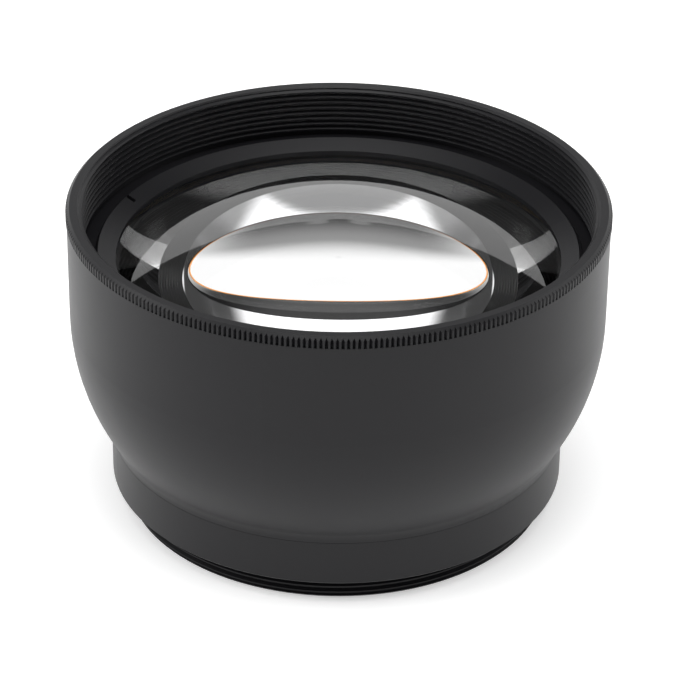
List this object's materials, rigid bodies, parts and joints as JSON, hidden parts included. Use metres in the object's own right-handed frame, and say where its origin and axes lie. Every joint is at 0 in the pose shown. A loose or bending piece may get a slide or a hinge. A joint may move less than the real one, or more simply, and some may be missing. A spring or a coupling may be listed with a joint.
{
  "type": "teleconverter lens",
  "caption": "Screw-on converter lens: bowl-shaped barrel with a fine-knurled rim, domed front glass under a slotted ring, and a male mounting thread behind.",
  "frame": {"origin": "centre of the foot of the rear mounting thread, on the lens's axis", "axes": "+Z along the optical axis from the rear thread to the front glass; the spanner slot seen in the picture lies at 155 degrees about it from +X towards +Y; the picture was taken from -Y"},
  "size_m": [0.065, 0.065, 0.0394],
  "materials": {
    "black_anodised": "satin black anodised",
    "black_anodised_ring": "satin black anodised, turned",
    "matte_black": "matte black against stray light",
    "brass": "thin rolled strip",
    "optical_glass": "polished, coated"
  },
  "bodies": {
    "barrel": {"front_barrel": "black_anodised", "front_crown_lens": "optical_glass", "front_flint_lens": "optical_glass", "glass_spacer_ring": "matte_black", "baffle_tube": "matte_black"},
    "front_washer": {"front_slip_washer": "brass"},
    "front_ring": {"front_retaining_ring": "black_anodised_ring"},
    "rear_glass": {"rear_lens": "optical_glass"},
    "mount": {"mount_ring": "black_anodised"},
    "rear_washer": {"rear_slip_washer": "brass"},
    "rear_ring": {"rear_retaining_ring": "black_anodised_ring"}
  },
  "joints": [
    {"name": "front_ring_rise", "type": "slide", "parent": "barrel", "child": "front_washer", "axis": [0, 0, 1], "range_m": [0, 0.00151]},
    {"name": "front_ring_turn", "type": "hinge", "parent": "front_washer", "child": "front_ring", "pos_m": [0, 0, 0.032], "axis": [0, 0, 1], "range_deg": [0, 720]},
    {"name": "mount_drop", "type": "slide", "parent": "barrel", "child": "rear_glass", "axis": [0, 0, -1], "range_m": [0, 0.00301]},
    {"name": "mount_turn", "type": "hinge", "parent": "rear_glass", "child": "mount", "pos_m": [0, 0, 0.006], "axis": [0, 0, -1], "range_deg": [0, 1440]},
    {"name": "rear_ring_drop", "type": "slide", "parent": "mount", "child": "rear_washer", "axis": [0, 0, -1], "range_m": [0, 0.00201]},
    {"name": "rear_ring_turn", "type": "hinge", "parent": "rear_washer", "child": "rear_ring", "pos_m": [0, 0, 0.003], "axis": [0, 0, -1], "range_deg": [0, 1440]}
  ],
  "couplings": [
    {"joint": "front_ring_rise", "follows": "front_ring_turn", "m_per_rad": 0.00011937},
    {"joint": "mount_drop", "follows": "mount_turn", "m_per_rad": 0.00011937},
    {"joint": "rear_ring_drop", "follows": "rear_ring_turn", "m_per_rad": 0.000079577}
  ]
}
